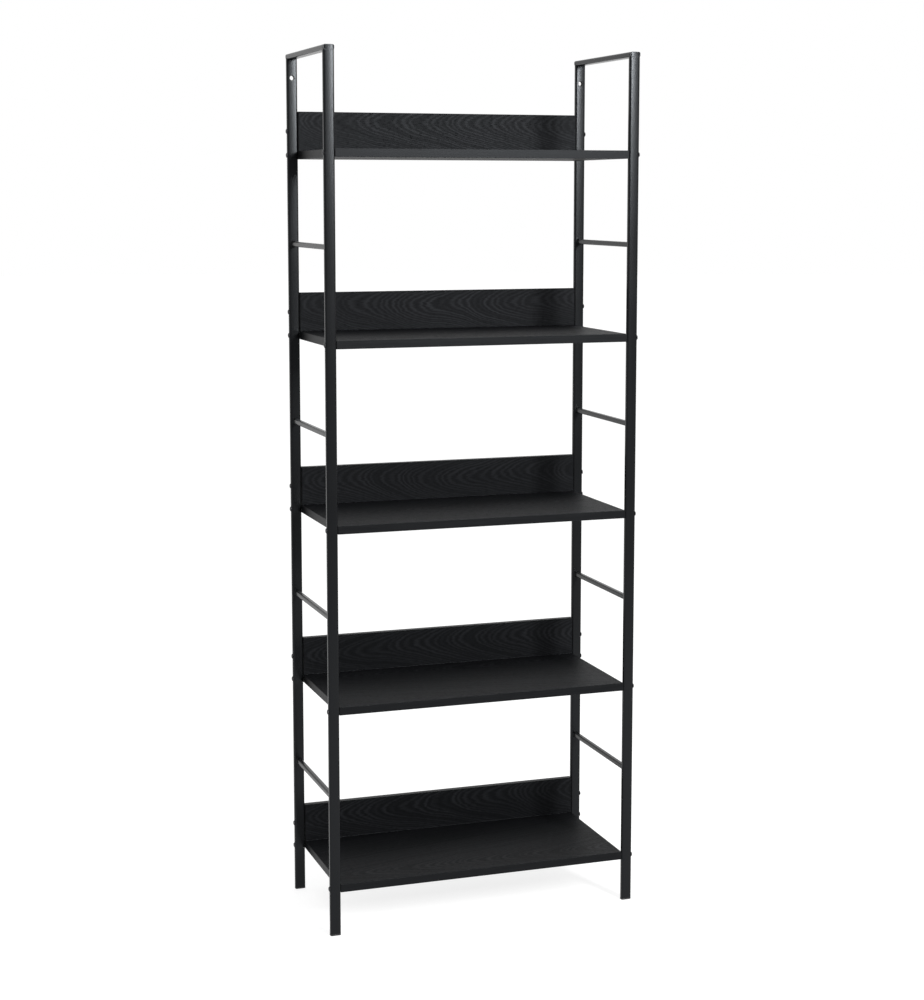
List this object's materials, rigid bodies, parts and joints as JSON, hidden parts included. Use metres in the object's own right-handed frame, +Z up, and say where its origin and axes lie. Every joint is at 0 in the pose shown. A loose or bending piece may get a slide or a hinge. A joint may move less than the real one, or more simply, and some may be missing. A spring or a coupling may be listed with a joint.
{
  "type": "bookcase",
  "caption": "Tall black ladder-frame bookcase: flat steel side ladders hold wood-grain boards, each with a low panel along its back edge.",
  "frame": {"origin": "on the floor, at the centre of the footprint", "axes": "+Z up; +X across the width, from left to right as seen from the front; +Y from the front to the back, so the open front faces -Y"},
  "size_m": [0.605, 0.272, 1.61],
  "materials": {
    "powder_coated_steel": "satin black powder coat on steel tube and bar",
    "black_wood_foil": "matt black-grey foil with embossed oak grain on board, with banded edges",
    "blackened_screw_steel": "black-coated domed socket screws",
    "black_plastic": "moulded matt black plastic plugs"
  },
  "bodies": {
    "root": {"post_left_front": "powder_coated_steel", "post_left_back": "powder_coated_steel", "foot_plug_left_front": "black_plastic", "foot_plug_left_back": "black_plastic", "top_rail_left": "powder_coated_steel", "rung_left_1": "powder_coated_steel", "rung_left_2": "powder_coated_steel", "rung_left_3": "powder_coated_steel", "rung_left_4": "powder_coated_steel", "post_right_front": "powder_coated_steel", "post_right_back": "powder_coated_steel", "foot_plug_right_front": "black_plastic", "foot_plug_right_back": "black_plastic", "top_rail_right": "powder_coated_steel", "rung_right_1": "powder_coated_steel", "rung_right_2": "powder_coated_steel", "rung_right_3": "powder_coated_steel", "rung_right_4": "powder_coated_steel", "shelf_board_1": "black_wood_foil", "back_panel_1": "black_wood_foil", "screw_left_front_1": "blackened_screw_steel", "screw_left_back_1": "blackened_screw_steel", "screw_left_panel_1": "blackened_screw_steel", "screw_right_front_1": "blackened_screw_steel", "screw_right_back_1": "blackened_screw_steel", "screw_right_panel_1": "blackened_screw_steel", "shelf_board_2": "black_wood_foil", "back_panel_2": "black_wood_foil", "screw_left_front_2": "blackened_screw_steel", "screw_left_back_2": "blackened_screw_steel", "screw_left_panel_2": "blackened_screw_steel", "screw_right_front_2": "blackened_screw_steel", "screw_right_back_2": "blackened_screw_steel", "screw_right_panel_2": "blackened_screw_steel", "shelf_board_3": "black_wood_foil", "back_panel_3": "black_wood_foil", "screw_left_front_3": "blackened_screw_steel", "screw_left_back_3": "blackened_screw_steel", "screw_left_panel_3": "blackened_screw_steel", "screw_right_front_3": "blackened_screw_steel", "screw_right_back_3": "blackened_screw_steel", "screw_right_panel_3": "blackened_screw_steel", "shelf_board_4": "black_wood_foil", "back_panel_4": "black_wood_foil", "screw_left_front_4": "blackened_screw_steel", "screw_left_back_4": "blackened_screw_steel", "screw_left_panel_4": "blackened_screw_steel", "screw_right_front_4": "blackened_screw_steel", "screw_right_back_4": "blackened_screw_steel", "screw_right_panel_4": "blackened_screw_steel", "shelf_board_5": "black_wood_foil", "back_panel_5": "black_wood_foil", "screw_left_front_5": "blackened_screw_steel", "screw_left_back_5": "blackened_screw_steel", "screw_left_panel_5": "blackened_screw_steel", "screw_right_front_5": "blackened_screw_steel", "screw_right_back_5": "blackened_screw_steel", "screw_right_panel_5": "blackened_screw_steel"}
  },
  "joints": []
}
